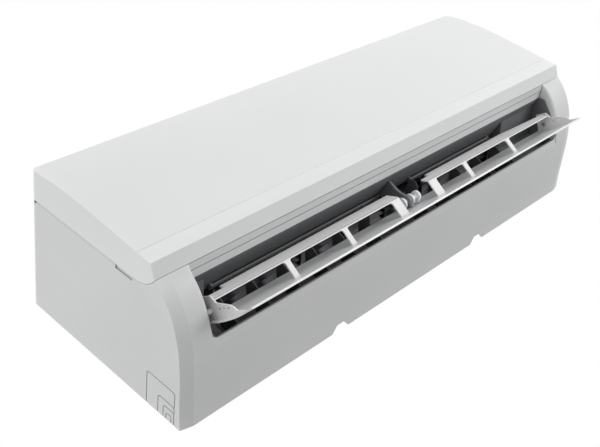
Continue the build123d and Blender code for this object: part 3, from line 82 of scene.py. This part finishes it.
def noise(tree, scale, detail=4.0, rough=0.55, stretch=(1, 1, 1)):
    """Noise over the object's own coordinates."""
    where = tree.nodes.new("ShaderNodeTexCoord")
    mapping = tree.nodes.new("ShaderNodeMapping")
    mapping.inputs["Scale"].default_value = stretch
    texture = tree.nodes.new("ShaderNodeTexNoise")
    texture.inputs["Scale"].default_value = scale
    texture.inputs["Detail"].default_value = detail
    texture.inputs["Roughness"].default_value = rough
    tree.links.new(where.outputs["Object"], mapping.inputs["Vector"])
    tree.links.new(mapping.outputs["Vector"], texture.inputs["Vector"])
    return texture.outputs["Fac"]


def ramp(tree, value, low, high, at=(0.35, 0.65)):
    """Two-stop ramp; a stop is a grey value or a colour."""
    node = tree.nodes.new("ShaderNodeValToRGB")
    for i, stop in enumerate((low, high)):
        colour = (stop, stop, stop, 1) if isinstance(stop, (int, float)) else (*stop, 1)
        node.color_ramp.elements[i].position = at[i]
        node.color_ramp.elements[i].color = colour
    tree.links.new(value, node.inputs["Fac"])
    return node.outputs["Color"]


def mix(tree, factor, a, b, kind="MIX"):
    """Colour mix; factor, a and b are sockets or constants."""
    node = tree.nodes.new("ShaderNodeMix")
    node.data_type = "RGBA"
    node.blend_type = kind
    for socket, value in ((node.inputs[0], factor), (node.inputs[6], a), (node.inputs[7], b)):
        if isinstance(value, bpy.types.NodeSocket):
            tree.links.new(value, socket)
        elif isinstance(value, (int, float)):
            socket.default_value = value
        else:
            socket.default_value = (*value, 1)
    return node.outputs[2]


def bump(tree, shader, height, strength, distance):
    node = tree.nodes.new("ShaderNodeBump")
    node.inputs["Strength"].default_value = strength
    node.inputs["Distance"].default_value = distance
    tree.links.new(height, node.inputs["Height"])
    tree.links.new(node.outputs["Normal"], shader.inputs["Normal"])


def edge_mask(tree, low=0.56, high=0.66):
    """Mask of convex edges, where a painted highlight goes."""
    geometry = tree.nodes.new("ShaderNodeNewGeometry")
    return ramp(tree, geometry.outputs["Pointiness"], 0.0, 1.0, (low, high))


def painted_groove_shade(tree, colour):
    """Colour darkened in narrow grooves: painted shade."""
    node = tree.nodes.new("ShaderNodeAmbientOcclusion")
    node.samples = 6
    node.only_local = True
    node.inputs["Distance"].default_value = GROOVE_REACH
    shade = ramp(tree, node.outputs["AO"], GROOVE_TONE, 1.0, (0.4, 0.8))
    return mix(tree, 1.0, colour, shade, "MULTIPLY")


def scaled(colour, factor):
    return tuple(min(1.0, c * factor) for c in colour)


def moulded(name, colour, rough, grain=900.0, depth=0.12, edge_highlight=0.25, coat=0.0, vary=0.04):
    """Moulded plastic or paint: fine grain, clouding, painted highlight along edges, painted shade in
    grooves.
    """
    material, tree, shader = new_material(name)
    clouds = noise(tree, 9.0, 3.0)
    base = ramp(tree, clouds, scaled(colour, 1 - vary), scaled(colour, 1 + vary * 0.5), WIDE)
    # painted highlight: colour brightened along convex edges
    highlit_colour = mix(tree, edge_mask(tree), base, scaled(colour, 1 + edge_highlight))
    # painted shade: colour darkened in grooves
    tree.links.new(painted_groove_shade(tree, highlit_colour), shader.inputs["Base Color"])
    smear = noise(tree, 38.0, 2.0, stretch=(0.35, 1, 1))
    tree.links.new(ramp(tree, smear, rough - 0.04, rough + 0.06, WIDE), shader.inputs["Roughness"])
    if coat:
        shader.inputs["Coat Weight"].default_value = coat
        shader.inputs["Coat Roughness"].default_value = 0.25
    bump(tree, shader, noise(tree, grain, 2.0), depth, 0.0002)
    return material


def metal(name, colour, rough, stretch=(1, 1, 1), scale=60.0, tint=0.12):
    """Metal with brushed or mottled shade and a painted highlight along edges."""
    material, tree, shader = new_material(name)
    shader.inputs["Metallic"].default_value = 1.0
    streaks = noise(tree, scale, 6.0, 0.6, stretch)
    base = ramp(tree, streaks, scaled(colour, 1 - tint), scaled(colour, 1 + tint * 0.6))
    # painted highlight: colour brightened along convex edges
    highlit_colour = mix(tree, edge_mask(tree, 0.53, 0.62), base, scaled(colour, 1.25))
    tree.links.new(highlit_colour, shader.inputs["Base Color"])
    tree.links.new(ramp(tree, streaks, rough + 0.12, rough - 0.05), shader.inputs["Roughness"])
    bump(tree, shader, streaks, 0.15, 0.0003)
    return material


def spangled(name):
    """Zinc-coated sheet with its crystal pattern."""
    material, tree, shader = new_material(name)
    shader.inputs["Metallic"].default_value = 1.0
    where = tree.nodes.new("ShaderNodeTexCoord")
    cells = tree.nodes.new("ShaderNodeTexVoronoi")
    cells.inputs["Scale"].default_value = 110.0
    tree.links.new(where.outputs["Object"], cells.inputs["Vector"])
    base = ramp(tree, cells.outputs["Color"], (0.5, 0.52, 0.54), (0.72, 0.74, 0.76), (0.2, 0.8))
    tree.links.new(base, shader.inputs["Base Color"])
    tree.links.new(ramp(tree, cells.outputs["Color"], 0.5, 0.3, (0.2, 0.8)), shader.inputs["Roughness"])
    bump(tree, shader, noise(tree, 200.0), 0.1, 0.0002)
    return material


def finned(name):
    """Stack of thin aluminium fins across the width, with painted shade in the gaps between them."""
    material, tree, shader = new_material(name)
    shader.inputs["Metallic"].default_value = 0.9
    where = tree.nodes.new("ShaderNodeTexCoord")
    wave = tree.nodes.new("ShaderNodeTexWave")
    wave.bands_direction = "X"
    wave.inputs["Scale"].default_value = 110.0
    wave.inputs["Distortion"].default_value = 0.3
    tree.links.new(where.outputs["Object"], wave.inputs["Vector"])
    # dark bands: painted shade in the gaps between fins
    base = ramp(tree, wave.outputs["Fac"], (0.04, 0.045, 0.05), (0.72, 0.76, 0.8), (0.25, 0.6))
    tree.links.new(base, shader.inputs["Base Color"])
    tree.links.new(ramp(tree, noise(tree, 30.0), 0.3, 0.5), shader.inputs["Roughness"])
    bump(tree, shader, wave.outputs["Fac"], 0.6, 0.0008)
    return material


def circuit(name):
    """Green board with lighter tracks."""
    material, tree, shader = new_material(name)
    where = tree.nodes.new("ShaderNodeTexCoord")
    brick = tree.nodes.new("ShaderNodeTexBrick")
    brick.inputs["Scale"].default_value = 90.0
    brick.inputs["Mortar Size"].default_value = 0.035
    brick.inputs["Color1"].default_value = (0.02, 0.14, 0.06, 1)
    brick.inputs["Color2"].default_value = (0.03, 0.2, 0.09, 1)
    brick.inputs["Mortar"].default_value = (0.2, 0.42, 0.2, 1)
    turn = tree.nodes.new("ShaderNodeMapping")
    turn.inputs["Rotation"].default_value = (pi / 2, 0, pi / 2)
    tree.links.new(where.outputs["Object"], turn.inputs["Vector"])
    tree.links.new(turn.outputs["Vector"], brick.inputs["Vector"])
    tree.links.new(brick.outputs["Color"], shader.inputs["Base Color"])
    tree.links.new(ramp(tree, noise(tree, 80.0), 0.25, 0.45), shader.inputs["Roughness"])
    bump(tree, shader, brick.outputs["Fac"], 0.3, 0.0003)
    return material


def screen(name):
    """Woven filter screen."""
    material, tree, shader = new_material(name)
    where = tree.nodes.new("ShaderNodeTexCoord")
    threads = []
    for direction in ("X", "Z"):
        wave = tree.nodes.new("ShaderNodeTexWave")
        wave.bands_direction = direction
        wave.inputs["Scale"].default_value = 260.0
        tree.links.new(where.outputs["Object"], wave.inputs["Vector"])
        threads.append(wave.outputs["Fac"])
    height = mix(tree, 1.0, *threads, "LIGHTEN")
    base = ramp(tree, height, (0.08, 0.09, 0.1), (0.42, 0.45, 0.5), (0.4, 0.9))
    tree.links.new(base, shader.inputs["Base Color"])
    tree.links.new(ramp(tree, noise(tree, 20.0), 0.5, 0.7), shader.inputs["Roughness"])
    bump(tree, shader, height, 0.5, 0.0004)
    return material


# ------------------------------------------------------------------ materials by slot
def make_materials():
    return {
        "casing_white": moulded("casing_white", WHITE, 0.42, edge_highlight=0.1, coat=0.15),
        "panel_white": moulded("panel_white", scaled(WHITE, PANEL_PAINTED_LIGHT), 0.32, 700.0, 0.06, 0.08,
                               0.35, 0.02),
        "flap_white": moulded("flap_white", scaled(WHITE, FLAP_PAINTED_LIGHT), 0.36, 700.0, 0.06, 0.08, 0.3, 0.02),
        "frame_grey": moulded("frame_grey", (0.86, 0.86, 0.86), 0.4, edge_highlight=0.08, coat=0.1),
        "duct_grey": moulded("duct_grey", (0.16, 0.162, 0.168), 0.5, edge_highlight=0.4),
        "vane_grey": moulded("vane_grey", (0.08, 0.082, 0.088), 0.45, edge_highlight=1.2),
        "fan_black": moulded("fan_black", (0.02, 0.02, 0.03), 0.35, edge_highlight=1.0),
        "filter_grey": screen("filter_grey"),
        "fin_aluminium": finned("fin_aluminium"),
        "tube_copper": metal("tube_copper", (0.72, 0.38, 0.24), 0.3, tint=0.2),
        "union_brass": metal("union_brass", (0.75, 0.56, 0.26), 0.28),
        "zinc_steel": spangled("zinc_steel"),
        "motor_steel": metal("motor_steel", (0.55, 0.56, 0.57), 0.4),
        "pan_plastic": moulded("pan_plastic", (0.7, 0.7, 0.68), 0.55),
        "chassis_plastic": moulded("chassis_plastic", (0.55, 0.56, 0.56), 0.5),
        "board_green": circuit("board_green"),
        "lid_steel": spangled("lid_steel"),
        "terminal_plastic": moulded("terminal_plastic", (0.03, 0.03, 0.035), 0.4, edge_highlight=0.8),
        "inlet_rubber": moulded("inlet_rubber", (0.015, 0.015, 0.015), 0.75, edge_highlight=0.6),
        "shaft_steel": metal("shaft_steel", (0.6, 0.61, 0.62), 0.25, (8, 1, 1)),
    }


def dress_nodes(materials):
    slots = {entry["node"]: entry["material_slot"] for entry in frame["record"]["subparts"]}
    for name, node in nodes.items():
        material = materials[slots[name]]
        if not node.material_slots:
            node.data.materials.append(material)
        for entry in node.material_slots:
            entry.material = material


# ------------------------------------------------------------------ studio
def area_light(name, place, target, size, power):
    data = bpy.data.lights.new(name, "AREA")
    data.shape = "SQUARE"
    data.size = size
    data.energy = power
    light = bpy.data.objects.new(name, data)
    bpy.context.scene.collection.objects.link(light)
    light.location = place
    direction = Vector(target) - Vector(place)
    light.rotation_euler = direction.to_track_quat("-Z", "Y").to_euler()


def make_studio():
    world = bpy.data.worlds.new("studio")
    world.use_nodes = True
    sky = world.node_tree.nodes["Background"]
    sky.inputs["Color"].default_value = (1, 1, 1, 1)
    sky.inputs["Strength"].default_value = 1.0
    bpy.context.scene.world = world
    bpy.context.scene.view_settings.view_transform = "Standard"
    area_light("key", KEY_AT, KEY_TARGET, KEY_SIZE, KEY_POWER)
    area_light("fill", FILL_AT, FILL_TARGET, FILL_SIZE, FILL_POWER)
    mesh = bpy.data.meshes.new("floor")
    corners = ((-1, -1), (1, -1), (1, 1), (-1, 1))
    mesh.from_pydata([(x * FLOOR_HALF, y * FLOOR_HALF, FLOOR_Z) for x, y in corners], [], [(0, 1, 2, 3)])
    floor = bpy.data.objects.new("floor", mesh)
    bpy.context.scene.collection.objects.link(floor)
    floor.data.materials.append(moulded("floor_paint", FLOOR_TONE, 0.9, 40.0, 0.05, 0.0))


make_camera()
make_studio()
dress_nodes(make_materials())
